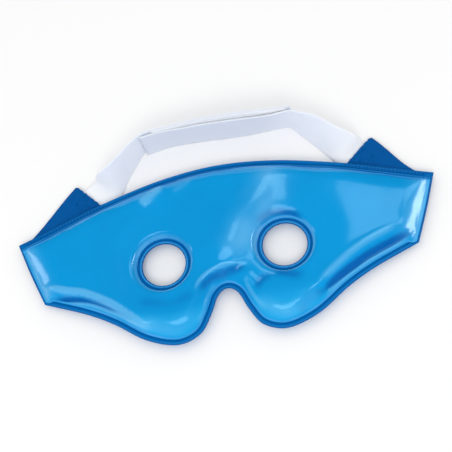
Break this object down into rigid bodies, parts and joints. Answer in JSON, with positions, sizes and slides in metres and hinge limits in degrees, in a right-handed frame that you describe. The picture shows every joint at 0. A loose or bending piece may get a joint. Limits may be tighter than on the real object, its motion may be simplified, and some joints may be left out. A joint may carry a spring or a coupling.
{
  "type": "gel eye mask",
  "caption": "Flat gel-filled eye mask in glossy film with round eye openings, a nose notch, folded fabric tabs and a lapped hook-and-loop head strap.",
  "frame": {"origin": "centre of the bounding box in X and Y, at the underside the mask lies on", "axes": "+X along the mask's length, +Y from the nose notch to the forehead edge and strap, +Z out of the front film"},
  "size_m": [0.224, 0.1186, 0.018],
  "materials": {
    "blue_vinyl": "gloss",
    "blue_gel": "gloss",
    "blue_fabric": "matte",
    "blue_thread": "matte",
    "white_strap": "matte",
    "white_hook": "satin",
    "white_loop": "matte"
  },
  "bodies": {
    "mask": {"front_film": "blue_vinyl", "back_film": "blue_vinyl", "gel_fill": "blue_gel", "left_tab_root": "blue_fabric", "right_tab_root": "blue_fabric"},
    "left_half": {"left_tab": "blue_fabric", "left_tab_stitching": "blue_thread", "left_strap": "white_strap"},
    "closure_flap": {"left_strap_end": "white_strap", "loop_patch": "white_loop"},
    "right_half": {"right_tab": "blue_fabric", "right_tab_stitching": "blue_thread", "right_strap": "white_strap", "hook_patch": "white_hook"}
  },
  "joints": [
    {"name": "left_tab_fold", "type": "hinge", "parent": "mask", "child": "left_half", "pos_m": [-0.10131, -0.0061, 0.001], "axis": [-0.3661, 0.9306, 0], "range_deg": [0, 170]},
    {"name": "right_tab_fold", "type": "hinge", "parent": "mask", "child": "right_half", "pos_m": [0.10131, -0.0061, 0.001], "axis": [-0.3661, -0.9306, 0], "range_deg": [0, 170]},
    {"name": "closure_peel", "type": "hinge", "parent": "left_half", "child": "closure_flap", "pos_m": [-0.03315, 0.05928, 0], "axis": [0, 0, 1], "range_deg": [0, 140]}
  ]
}
